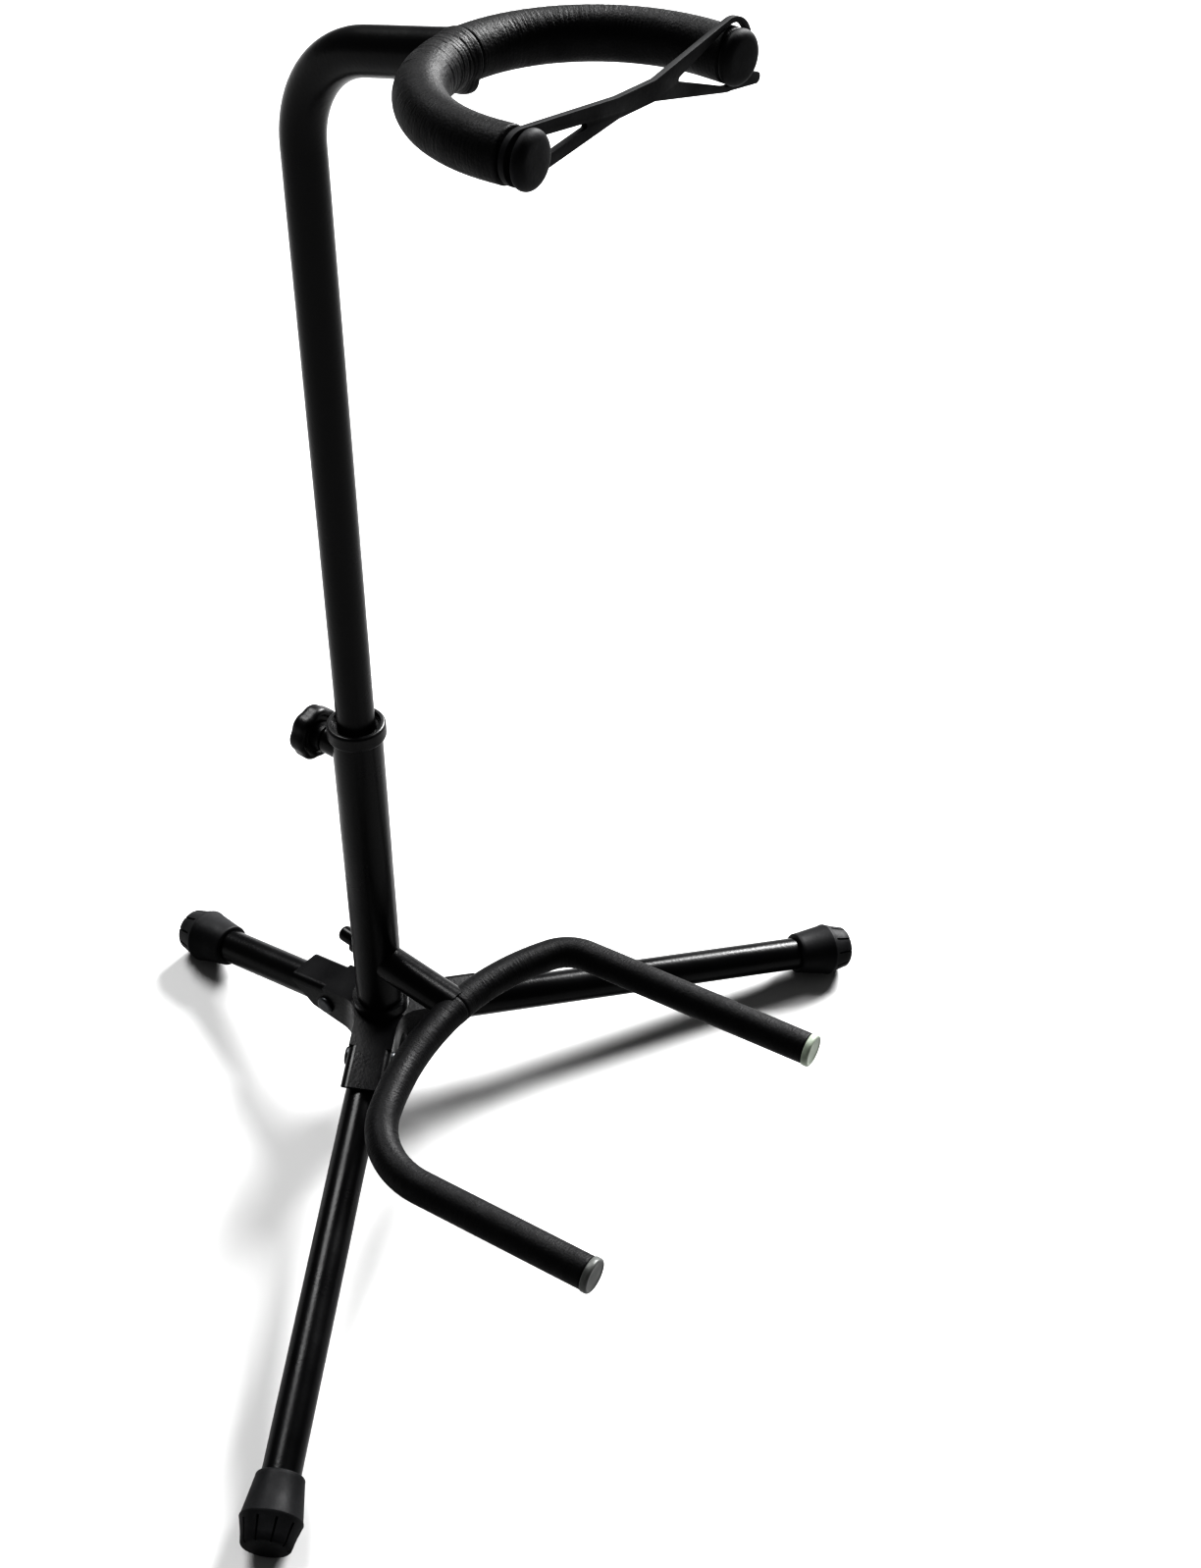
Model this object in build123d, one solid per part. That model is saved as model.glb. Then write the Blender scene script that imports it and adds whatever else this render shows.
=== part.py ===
from build123d import *
import math
import os

# A tripod guitar stand: three folding legs on a pressed hub, a two-part mast that
# leans back, a padded neck yoke with a retaining strap, and a padded body cradle.
# Millimetres and degrees.  +Z is up and -Y is the front, where the guitar stands.
# Left is -X and right is +X, as seen from the front.

# Tubes and bars
TUBE_WALL = 1.2
LOWER_D = 25.4
UPPER_D = 19.05
LEG_D = 19.05
BAR_D = 9.5
FIT = 0.05            # radial clearance of parts that turn or slide on each other
GAP = 0.3             # clearance between bodies that only come close

# Tripod
LEG_START = 15.0      # where each leg's axis is HUB_Z above the floor
HUB_Z = 48.0
FRONT_ANGLE = 58.3    # each front leg turns this far from straight ahead
FRONT_REACH = 281.0   # tripod centre to the widest ring of a front foot
REAR_REACH = 136.0
WIDE_Z = 14.4         # height of the leg's axis at that ring
PIVOT_R = 30.0
RIVET_D = 6.0
RIVET_HEAD_D = 10.5
RIVET_HEAD_H = 2.2

# Hub: a star of three channels, open underneath
SHEET = 1.8
CHANNEL_HALF = LEG_D / 2 + 0.35
ARM_HALF = CHANNEL_HALF + SHEET
CHANNEL = 57.5        # tripod centre to a channel's roof end, which is raked
CHANNEL_RAKE = 45.0
CHANNEL_CORNER = 4.0
WEB_RADIUS = 18.0
HUB_LOW = 36.5
HUB_HIGH = 70.0
POCKET_TOP = 50.0
SOCKET_D = 30.4
SOCKET_LOW = 27.0
SOCKET_HIGH = 66.0
SOCKET_FLOOR = 3.0
WASHER_T = 1.6
WASHER_D = 16.0
HUB_BOLT_HEAD_D = 11.0
HUB_BOLT_HEAD_H = 4.0

# Mast, measured along its own axis from the floor
MAST_LEAN = 5.8
MAST_FOOT_Y = -6.3
LOWER_TOP = 251.0
UPPER_LOW = 156.0
BEND_START = 541.7
BEND_RADIUS = 46.6
BEND_ANGLE = 79.6
NECK = 48.1
PLUG_H = 20.0
GUIDE_H = 16.0
GUIDE_FLANGE = 1.6
TOP_BUSH_H = 12.0
COLLAR_D = 29.4
COLLAR_LOW = 245.0
COLLAR_HIGH = 253.4
COLLAR_INSIDE = 24.6

# Height clamp, behind the mast
CLAMP_Z = 233.6
BOSS_D = 15.0
BOSS_END = 19.5
PAD_D = 5.8
PAD_H = 1.5
STUD_D = 6.0
STUD_END = 31.0
KNOB_D = 28.0
KNOB_NECK_D = 14.5
KNOB_NECK_FROM = 20.6
KNOB_FROM = 25.0
KNOB_TO = 35.0
KNOB_LOBES = 7
SCALLOP_D = 8.0

# Neck yoke
YOKE_TILT = 5.5
YOKE_RADIUS = 61.4
YOKE_SWEEP = 95.0
YOKE_STRAIGHT = 11.2
YOKE_SLEEVE_D = 20.0
YOKE_CAP_D = 20.4
YOKE_CAP_H = 4.6
YOKE_CAP_ROUND = 3.0

# Neck strap, held in a groove between the left sleeve and its cap
GROOVE = 6.0
STRAP_T = 2.4
STRAP_NECK = 3.7      # half the height of the narrow middle
STRAP_NECK_FROM = -8.0
STRAP_NECK_TO = 14.0
EYE_R = 9.6
EYE_HOLE_R = 5.3
EYE_SLOT_END = -26.5
LOOP_R = 13.3
LOOP_HOLE_R = 11.3
LOOP_SLOT_END = 28.5
SLOT_R = 1.0
TAB_R = 2.1
TAB_REACH = 18.0
TAB_DROP = 13.2

# Body cradle
CRADLE_Z = 95.5
STUB_D = 19.05
STUB_FRONT = -53.0
CRADLE_TILT = 5.3
LEFT_BENDS = ((171.0, 27.0), (46.0, 68.8))
LEFT_PRONG = 94.6
RIGHT_BENDS = ((133.6, 27.1), (22.0, 56.1))
RIGHT_PRONG = 131.8
CRADLE_SLEEVE_D = 16.8
CRADLE_CAP_D = 17.8
CRADLE_CAP_H = 4.0
CRADLE_CAP_ROUND = 0.8
CAP_GRIP = 2.6        # how deep a bar stands in its end cap
BOLT_D = 6.0
CAP_NUT_D = 8.6
CAP_NUT_END = 28.5
CAP_NUT_FROM = 17.7
SADDLE_D = 13.0
STUB_SINK = 8.0       # how far the stub runs past the mast's front before it is coped
STUB_PLUG_FROM = 16.0
STUB_PLUG_TO = 30.0

# Rubber feet, measured along the leg from the widest ring
FOOT_D = 30.4
FOOT_MOUTH = -21.0
FOOT_MOUTH_D = 23.8
FOOT_END = 14.0
FOOT_END_D = 24.0
LEG_IN_FOOT = 8.0
FOOT_GROOVES = 10
GROOVE_START = 3.0
GROOVE_DEPTH_R = 11.4


def flat_path(*runs):
    """A flat path that starts along +X: a number is a straight run and a pair is
    a bend to the left, of that radius and angle."""
    here, heading = Vector(0, 0), Vector(1, 0)
    edges = []
    for run in runs:
        if isinstance(run, tuple):
            edge = JernArc(start=here, tangent=heading, radius=run[0], arc_size=run[1])
        else:
            edge = Line(here, here + heading * run)
        here, heading = edge @ 1, edge % 1
        edges.append(edge)
    return Wire(edges)


def bar_along(path, diameter):
    """A round bar along a path."""
    section = Plane(origin=path @ 0, z_dir=path % 0) * Circle(diameter / 2)
    return sweep(section, path=path)


def rod(plane, start, end, diameter):
    """A round rod along a plane's normal, between two distances from its origin."""
    here = plane * Pos(0, 0, start)
    return here * Cylinder(diameter / 2, end - start, align=(Align.CENTER, Align.CENTER, Align.MIN))


def tube(plane, start, end, outer, inner):
    """A round tube, placed like a rod."""
    return rod(plane, start, end, outer) - rod(plane, start, end, inner)


MAST_AXIS = Vector(0, math.sin(math.radians(MAST_LEAN)), math.cos(math.radians(MAST_LEAN)))
MAST = Plane(origin=(0, MAST_FOOT_Y, 0), x_dir=(1, 0, 0), z_dir=MAST_AXIS)
CLAMP = Plane(origin=MAST.from_local_coords((0, 0, CLAMP_Z)), x_dir=(1, 0, 0), z_dir=MAST.y_dir)


class Leg:
    """One leg: where it points and how far it reaches."""

    def __init__(self, azimuth, reach):
        turn = math.radians(azimuth)
        self.azimuth = azimuth
        self.out = Vector(math.cos(turn), math.sin(turn), 0)
        self.slope = math.atan((HUB_Z - WIDE_Z) / (reach - LEG_START))
        self.axis = self.out * math.cos(self.slope) - Vector(0, 0, math.sin(self.slope))
        self.wide = self.out * reach + Vector(0, 0, WIDE_Z)
        drop = (reach - PIVOT_R) * math.tan(self.slope)
        self.pivot = self.out * PIVOT_R + Vector(0, 0, WIDE_Z + drop)
        self.hinge = Vector(0, 0, 1).cross(self.out)
        self.length = (self.wide - self.pivot).length
        # Along the leg, with the hinge as Y and the leg's upper side as Z
        self.frame = Plane(origin=self.pivot, x_dir=self.axis, z_dir=self.axis.cross(self.hinge))
        self.across = Plane(origin=self.pivot, x_dir=self.axis, z_dir=self.hinge)
        self.tip = Plane(origin=self.wide, x_dir=self.hinge, z_dir=self.axis)


LEGS = {
    "left": Leg(-90 - FRONT_ANGLE, FRONT_REACH),
    "right": Leg(-90 + FRONT_ANGLE, FRONT_REACH),
    "rear": Leg(90, REAR_REACH),
}


def star_arm(leg):
    arm = Rectangle(CHANNEL, 2 * ARM_HALF, align=(Align.MIN, Align.CENTER))
    return Rot(0, 0, leg.azimuth) * arm


def star_outline():
    """The hub from above: three arms joined by concave webs."""
    outline = Sketch()
    for leg in LEGS.values():
        outline += star_arm(leg)
    notches = [v for v in outline.vertices() if Vector(v.X, v.Y, 0).length < CHANNEL / 2]
    return fillet(notches, WEB_RADIUS)


def web_pockets():
    """The hollows under the webs, inside the sheet's thickness."""
    pockets = offset(star_outline(), -SHEET)
    for leg in LEGS.values():
        pockets -= star_arm(leg)
    socket_y = MAST_FOOT_Y + HUB_Z * math.sin(math.radians(MAST_LEAN))
    return pockets - Pos(0, socket_y) * Circle(SOCKET_D / 2 + 1)


def corner_cutter(leg, side):
    """What rounds one long corner of a channel's roof, outside the webs."""
    edge = ARM_HALF - CHANNEL_CORNER
    start = PIVOT_R
    block = Box(CHANNEL, CHANNEL_CORNER + 1, CHANNEL_CORNER + 1, align=(Align.MIN, Align.MIN, Align.MIN))
    round_end = Rot(0, 90, 0) * Cylinder(
        CHANNEL_CORNER, 3 * CHANNEL, align=(Align.CENTER, Align.CENTER, Align.CENTER)
    )
    cutter = block - round_end
    turn = Rot(0, 0, 0) if side > 0 else Rot(90, 0, 0)
    return leg.frame * Pos(start - PIVOT_R, side * edge, edge) * turn * cutter


def rake_cutter(leg):
    """What leaves a channel's end raked, longest at its roof."""
    end = Pos(CHANNEL - PIVOT_R, 0, ARM_HALF)
    block = Box(100, 100, 200, align=(Align.MIN, Align.CENTER, Align.CENTER))
    return leg.frame * end * Rot(0, CHANNEL_RAKE, 0) * block


def hub():
    """Pressed star with a socket for the mast; each channel is open underneath."""
    body = Pos(0, 0, HUB_LOW) * extrude(star_outline(), HUB_HIGH - HUB_LOW)
    for leg in LEGS.values():
        above = Box(300, 300, 100, align=(Align.CENTER, Align.CENTER, Align.MIN))
        body -= leg.frame * Pos(0, 0, ARM_HALF) * above
        body -= rake_cutter(leg)
    for leg in LEGS.values():
        for side in (-1, 1):
            body -= corner_cutter(leg, side)
    body -= Pos(0, 0, HUB_LOW - 1) * extrude(web_pockets(), POCKET_TOP - HUB_LOW + 1)
    body += rod(MAST, SOCKET_LOW, SOCKET_HIGH, SOCKET_D)
    for leg in LEGS.values():
        slot = Box(200, 2 * CHANNEL_HALF, 100, align=(Align.MIN, Align.CENTER, Align.MAX))
        body -= leg.frame * Pos(-CHANNEL_HALF, 0, CHANNEL_HALF) * slot
        body -= rod(leg.across, -ARM_HALF - 9, ARM_HALF + 9, RIVET_D + 2 * FIT)
    body -= rod(MAST, SOCKET_LOW + SOCKET_FLOOR, SOCKET_HIGH + 1, LOWER_D + 2 * FIT)
    body -= rod(MAST, SOCKET_LOW - 1, SOCKET_LOW + SOCKET_FLOOR + 1, BOLT_D + 0.6)
    return body


def rivet(leg):
    """A headed pin across a channel; it is the leg's hinge pin."""
    pin = rod(leg.across, -ARM_HALF, ARM_HALF, RIVET_D)
    for side in (-1, 1):
        head = Cylinder(RIVET_HEAD_D / 2, RIVET_HEAD_H, align=(Align.CENTER, Align.CENTER, Align.MIN))
        head = fillet(head.edges().group_by(Axis.Z)[-1], RIVET_HEAD_H * 0.8)
        turn = Rot(0, 0, 0) if side > 0 else Rot(180, 0, 0)
        pin += leg.across * Pos(0, 0, side * ARM_HALF) * turn * head
    return pin


def leg_tube(leg):
    """A straight tube with a rounded inner end that clears the channel's roof."""
    along = Plane(origin=leg.pivot, x_dir=leg.hinge, z_dir=leg.axis)
    inner_end = -LEG_D / 2
    body = tube(along, inner_end, leg.length + LEG_IN_FOOT, LEG_D, LEG_D - 2 * TUBE_WALL)
    corners = Box(LEG_D / 2 + 1, 40, 40, align=(Align.MIN, Align.CENTER, Align.CENTER))
    corners = leg.frame * Pos(inner_end - 1, 0, 0) * corners
    body -= corners - rod(leg.across, -20, 20, LEG_D)
    return body - rod(leg.across, -20, 20, RIVET_D + 2 * FIT)


def foot(leg):
    """A rubber boot, widest near the floor, with grooves in its tapered end and a
    flat where it stands."""
    bore = LEG_D / 2 + 0.02
    outline = Polyline(
        (bore, FOOT_MOUTH),
        (FOOT_MOUTH_D / 2 - 0.6, FOOT_MOUTH),
        (FOOT_MOUTH_D / 2, FOOT_MOUTH + 1.0),
        (FOOT_D / 2 - 0.5, -1.2),
        (FOOT_D / 2, 0),
        (FOOT_D / 2 - 0.7, 1.4),
        (FOOT_END_D / 2 + 0.4, FOOT_END - 1.5),
        (FOOT_END_D / 2 - 1.2, FOOT_END),
        (0, FOOT_END),
        (0, LEG_IN_FOOT + 0.1),
        (bore, LEG_IN_FOOT + 0.1),
        close=True,
    )
    boot = revolve(Plane.XZ * make_face(outline), Axis.Z)
    for k in range(FOOT_GROOVES):
        angle = (k + 0.5) * 360 / FOOT_GROOVES
        groove = Box(8, 1.8, 20, align=(Align.MIN, Align.CENTER, Align.MIN))
        boot -= Rot(0, 0, angle) * Pos(GROOVE_DEPTH_R, 0, GROOVE_START) * groove
    boot = leg.tip * Rot(0, 0, 90) * boot
    return boot - Box(1000, 1000, 50, align=(Align.CENTER, Align.CENTER, Align.MAX))


def lower_mast():
    """The lower tube, with holes for the clamp stud and the cradle bolt."""
    body = tube(MAST, SOCKET_LOW + SOCKET_FLOOR, LOWER_TOP, LOWER_D, LOWER_D - 2 * TUBE_WALL)
    body -= rod(CLAMP, 0, LOWER_D, STUD_D + 0.3)
    return body - rod(CRADLE_BOLT, -40, 60, BOLT_D + 2 * FIT)


def mast_plug():
    """A plug in the bottom of the mast, tapped for the hub bolt."""
    low = SOCKET_LOW + SOCKET_FLOOR
    return tube(MAST, low, low + PLUG_H, LOWER_D - 2 * TUBE_WALL - 2 * FIT, BOLT_D + 2 * FIT)


def hub_washer():
    return tube(MAST, SOCKET_LOW - WASHER_T, SOCKET_LOW, WASHER_D, BOLT_D + 0.4)


def hub_bolt():
    """A button-head bolt, from below, with a socket for its key."""
    seat = SOCKET_LOW - WASHER_T
    head = Cylinder(HUB_BOLT_HEAD_D / 2, HUB_BOLT_HEAD_H, align=(Align.CENTER, Align.CENTER, Align.MIN))
    head = fillet(head.edges().group_by(Axis.Z)[0], 2)
    key = extrude(RegularPolygon(2.3, 6), 2.2)
    head = MAST * Pos(0, 0, seat - HUB_BOLT_HEAD_H) * (head - key)
    return head + rod(MAST, seat, SOCKET_LOW + SOCKET_FLOOR + 14, BOLT_D)


def height_collar():
    """A moulded ring round the top of the lower tube, with an open rim above it."""
    ring = rod(MAST, COLLAR_LOW, COLLAR_HIGH, COLLAR_D)
    ring = fillet(ring.edges(), 1.6)
    ring -= rod(MAST, COLLAR_LOW - 1, LOWER_TOP, LOWER_D + 2 * FIT)
    return ring - rod(MAST, LOWER_TOP - 1, COLLAR_HIGH + 1, COLLAR_INSIDE)


def top_bush():
    """A plastic ring in the top of the lower tube that the upper tube slides in."""
    top = LOWER_TOP - 1.0
    outer = LOWER_D - 2 * TUBE_WALL - 2 * FIT
    return tube(MAST, top - TOP_BUSH_H, top, outer, UPPER_D + 2 * FIT)


def clamp_boss():
    """A round nut welded behind the lower tube."""
    body = rod(CLAMP, 4, BOSS_END, BOSS_D)
    body -= rod(MAST, CLAMP_Z - 30, CLAMP_Z + 30, LOWER_D + 0.02)
    return body - rod(CLAMP, 0, BOSS_END + 1, STUD_D + 2 * FIT)


def clamp_pad():
    """A loose slug between the stud and the upper tube."""
    start = UPPER_D / 2 + GAP
    return rod(CLAMP, start, start + PAD_H, PAD_D)


def clamp_stud():
    return rod(CLAMP, UPPER_D / 2 + GAP + PAD_H + 0.1, STUD_END, STUD_D)


def clamp_knob():
    """A lobed knob moulded on the stud."""
    outline = Circle(KNOB_D / 2)
    for k in range(KNOB_LOBES):
        angle = k * 360 / KNOB_LOBES
        outline -= Rot(0, 0, angle) * Pos(KNOB_D / 2 + 2.2, 0) * Circle(SCALLOP_D / 2)
    grip = extrude(outline, KNOB_TO - KNOB_FROM)
    rims = grip.edges().filter_by(Plane.XY)
    body = CLAMP * Pos(0, 0, KNOB_FROM) * chamfer(rims, 0.9)
    body += rod(CLAMP, KNOB_NECK_FROM, KNOB_FROM, KNOB_NECK_D)
    return body - rod(CLAMP, KNOB_NECK_FROM - 1, STUD_END, STUD_D)


def guide_bush():
    """A plastic ring low on the upper tube; it slides in the lower tube, and the
    upper tube turns in it."""
    outer = LOWER_D - 2 * TUBE_WALL - 2 * FIT
    return tube(MAST, UPPER_LOW + GUIDE_FLANGE + FIT, UPPER_LOW + GUIDE_H, outer, UPPER_D + 2 * FIT)


def upper_plug():
    """A flanged plug in the bottom of the upper tube that carries the guide bush."""
    inner = UPPER_D - 2 * TUBE_WALL - 0.04
    flange = rod(MAST, UPPER_LOW - 0.4, UPPER_LOW + GUIDE_FLANGE - FIT, LOWER_D - 2 * TUBE_WALL - 1.4)
    flange -= rod(MAST, UPPER_LOW, UPPER_LOW + 5, UPPER_D + 0.04)
    return flange + rod(MAST, UPPER_LOW - 0.4, UPPER_LOW + 12, inner)


MAST_BEND = Plane(origin=MAST.from_local_coords((0, 0, UPPER_LOW)), x_dir=MAST_AXIS, z_dir=(1, 0, 0))
MAST_PATH = MAST_BEND * flat_path(BEND_START - UPPER_LOW, (BEND_RADIUS, BEND_ANGLE), NECK)
NECK_END = MAST_PATH @ 1
NECK_WAY = MAST_PATH % 1
NECK_PLANE = Plane(origin=NECK_END, x_dir=(1, 0, 0), z_dir=NECK_WAY)


def arm_plane(origin, tilt, side):
    """The plane in which an arm is bent, with X out to its side and Y forward."""
    angle = math.radians(tilt)
    normal = Vector(0, math.sin(angle), math.cos(angle)) * -side
    return Plane(origin=origin, x_dir=(side, 0, 0), z_dir=normal)


YOKE_ARMS = {
    name: (arm_plane(NECK_END, YOKE_TILT, side), (YOKE_RADIUS, YOKE_SWEEP), YOKE_STRAIGHT)
    for name, side in (("left", -1), ("right", 1))
}
CRADLE_MIDDLE = Vector(0, STUB_FRONT, CRADLE_Z)
CRADLE_ARMS = {
    "left": (arm_plane(CRADLE_MIDDLE, CRADLE_TILT, -1), *LEFT_BENDS, LEFT_PRONG),
    "right": (arm_plane(CRADLE_MIDDLE, CRADLE_TILT, 1), *RIGHT_BENDS, RIGHT_PRONG),
}
CRADLE_BOLT = Plane(origin=(0, 0, CRADLE_Z), x_dir=(1, 0, 0), z_dir=(0, 1, 0))


def arm_path(arm, extra=0.0):
    """The middle line of an arm's bar, up to its cap or a little more or less."""
    plane, *runs, straight = arm
    return plane * flat_path(*runs, straight + extra)


def bent_bar(arms):
    """One bar bent both ways from its middle, up to its ends in the caps."""
    halves = [bar_along(arm_path(arm, CAP_GRIP), BAR_D) for arm in arms.values()]
    return halves[0] + halves[1]


def sleeve(arm, diameter, neck, short=0.0):
    """A foam sleeve from the middle of the bar to the cap, notched for the neck."""
    path = arm_path(arm, -short)
    body = bar_along(path, diameter) - bar_along(path, BAR_D + 0.1)
    middle = Pos(arm[0].origin) * Box(0.3, 80, 80)
    return body - middle - neck


def end_cap(arm, diameter, height, rounding):
    """A cap pushed on the end of a bar, against the sleeve."""
    path = arm_path(arm)
    seat = Plane(origin=path @ 1, x_dir=arm[0].z_dir, z_dir=path % 1)
    cap = Cylinder(diameter / 2, height, align=(Align.CENTER, Align.CENTER, Align.MIN))
    cap = fillet(cap.edges().group_by(Axis.Z)[-1], rounding)
    cap = chamfer(cap.edges().group_by(Axis.Z)[0], 0.5)
    cap -= Cylinder(BAR_D / 2 + 0.02, CAP_GRIP + 0.1, align=(Align.CENTER, Align.CENTER, Align.MIN))
    return seat * Pos(0, 0, 0.05) * cap


def upper_mast():
    """The upper tube with its gooseneck, coped where it meets the yoke bar."""
    body = bar_along(MAST_PATH, UPPER_D) - bar_along(MAST_PATH, UPPER_D - 2 * TUBE_WALL)
    for arm in YOKE_ARMS.values():
        body -= bar_along(arm_path(arm), BAR_D)
    return body


def cradle_stub():
    """The tube that holds the cradle in front of the mast, coped at both ends and
    closed inside by the plug that its bolt screws into."""
    inner = STUB_D - 2 * TUBE_WALL
    body = rod(CRADLE_BOLT, STUB_FRONT, STUB_SINK, STUB_D)
    body -= rod(CRADLE_BOLT, STUB_FRONT - 1, STUB_FRONT + STUB_PLUG_FROM, inner)
    body -= rod(CRADLE_BOLT, STUB_FRONT + STUB_PLUG_TO, STUB_SINK + 1, inner)
    body -= rod(CRADLE_BOLT, STUB_FRONT, STUB_SINK + 1, BOLT_D + 2 * FIT)
    body -= rod(MAST, 30, 200, LOWER_D + 0.04)
    for arm in CRADLE_ARMS.values():
        body -= bar_along(arm_path(arm), BAR_D)
    return body


def cradle_bolt():
    """A stud from the stub, through the mast, to the cap nut."""
    return rod(CRADLE_BOLT, STUB_FRONT + STUB_PLUG_FROM + 4, CAP_NUT_END - 4, BOLT_D)


def saddle_washer():
    """A washer shaped to the back of the mast."""
    body = rod(CRADLE_BOLT, 6, CAP_NUT_FROM - 0.1, SADDLE_D)
    body -= rod(CRADLE_BOLT, 0, CAP_NUT_END, BOLT_D + 0.4)
    return body - rod(MAST, 30, 200, LOWER_D + 0.04)


def cap_nut():
    """A slim domed nut behind the mast."""
    height = CAP_NUT_END - CAP_NUT_FROM
    body = Cylinder(CAP_NUT_D / 2, height, align=(Align.CENTER, Align.CENTER, Align.MIN))
    body = fillet(body.edges().group_by(Axis.Z)[-1], 2.6)
    body = CRADLE_BOLT * Pos(0, 0, CAP_NUT_FROM) * body
    return body - rod(CRADLE_BOLT, 10, CAP_NUT_END - 3.9, BOLT_D + 2 * FIT)


SWEEP = math.radians(YOKE_SWEEP)
EYE_ALONG = YOKE_STRAIGHT - GROOVE / 2
EYE_X = YOKE_RADIUS * math.sin(SWEEP) + EYE_ALONG * math.cos(SWEEP)
STRAP_Y = YOKE_RADIUS * (1 - math.cos(SWEEP)) + EYE_ALONG * math.sin(SWEEP)
TILT = math.radians(YOKE_TILT)
FORWARD = Vector(0, -math.cos(TILT), math.sin(TILT))
STRAP_PLANE = Plane(origin=NECK_END + FORWARD * STRAP_Y, x_dir=(1, 0, 0), z_dir=FORWARD)
STRAP_HINGE = NECK_END + FORWARD * STRAP_Y - Vector(EYE_X, 0, 0)
STRAP_HINGE_WAY = Vector(0, -math.sin(TILT), -math.cos(TILT))


def disc(x, y, radius):
    return Pos(x, y) * Circle(radius)


def hull_of(*discs):
    """The shape of a cord pulled tight round some discs."""
    return make_hull([edge for d in discs for edge in d.edges()])


def neck_strap():
    """A flat rubber strap on edge across the mouth of the yoke.  Its eye turns on
    the left arm's bar, and its loop hooks over the right arm by a pull tab."""
    narrow = (disc(STRAP_NECK_FROM, 0.8, STRAP_NECK), disc(STRAP_NECK_TO, 0.6, STRAP_NECK))
    outline = hull_of(disc(-EYE_X, 0, EYE_R), narrow[0])
    outline += hull_of(*narrow)
    outline += hull_of(narrow[1], disc(EYE_X, 0.2, LOOP_R))
    outline += hull_of(disc(EYE_X, -9.5, TAB_R + 1.4), disc(EYE_X + TAB_REACH, -TAB_DROP, TAB_R))
    outline -= hull_of(disc(-EYE_X, 0, EYE_HOLE_R), disc(EYE_SLOT_END, 0.2, SLOT_R))
    outline -= hull_of(disc(EYE_X, 0.2, LOOP_HOLE_R), disc(LOOP_SLOT_END, 0.4, SLOT_R))
    return STRAP_PLANE * Pos(0, 0, -STRAP_T / 2) * extrude(outline, STRAP_T)


def build():
    """Every node by name, in the tripod's own frame."""
    nodes = {
        "hub_spider": hub(),
        "lower_mast": lower_mast(),
        "mast_plug": mast_plug(),
        "hub_washer": hub_washer(),
        "hub_bolt": hub_bolt(),
        "height_collar": height_collar(),
        "top_bush": top_bush(),
        "clamp_boss": clamp_boss(),
        "clamp_pad": clamp_pad(),
        "clamp_stud": clamp_stud(),
        "clamp_knob": clamp_knob(),
        "guide_bush": guide_bush(),
        "upper_plug": upper_plug(),
        "upper_mast": upper_mast(),
        "yoke_bar": bent_bar(YOKE_ARMS),
        "neck_strap": neck_strap(),
        "cradle_stub": cradle_stub(),
        "cradle_bar": bent_bar(CRADLE_ARMS),
        "cradle_bolt": cradle_bolt(),
        "saddle_washer": saddle_washer(),
        "cap_nut": cap_nut(),
    }
    for name, leg in LEGS.items():
        nodes["leg_rivet_" + name] = rivet(leg)
        nodes["leg_tube_" + name] = leg_tube(leg)
        nodes["foot_" + name] = foot(leg)
    neck = rod(NECK_PLANE, -40, 0, UPPER_D + 0.4)
    stub = rod(CRADLE_BOLT, STUB_FRONT, STUB_SINK, STUB_D + 0.4)
    for name in ("left", "right"):
        yoke, cradle = YOKE_ARMS[name], CRADLE_ARMS[name]
        short = GROOVE if name == "left" else 0.0
        nodes["yoke_sleeve_" + name] = sleeve(yoke, YOKE_SLEEVE_D, neck, short)
        nodes["yoke_cap_" + name] = end_cap(yoke, YOKE_CAP_D, YOKE_CAP_H, YOKE_CAP_ROUND)
        nodes["cradle_sleeve_" + name] = sleeve(cradle, CRADLE_SLEEVE_D, stub)
        nodes["cradle_cap_" + name] = end_cap(cradle, CRADLE_CAP_D, CRADLE_CAP_H, CRADLE_CAP_ROUND)
    return nodes


NODES = build()
# The origin is on the floor, in the middle of the stand's footprint
BOX = Compound(children=[Compound(n.solids()) for n in NODES.values()]).bounding_box()
SHIFT = Vector(-BOX.center().X, -BOX.center().Y, -BOX.min.Z)

os.makedirs("parts", exist_ok=True)
for name, shape in NODES.items():
    export_step(Pos(SHIFT) * shape, "parts/" + name + ".step")
print("shift", SHIFT)
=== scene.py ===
import math

import bmesh
import bpy
from mathutils import Matrix, Vector, kdtree


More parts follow.
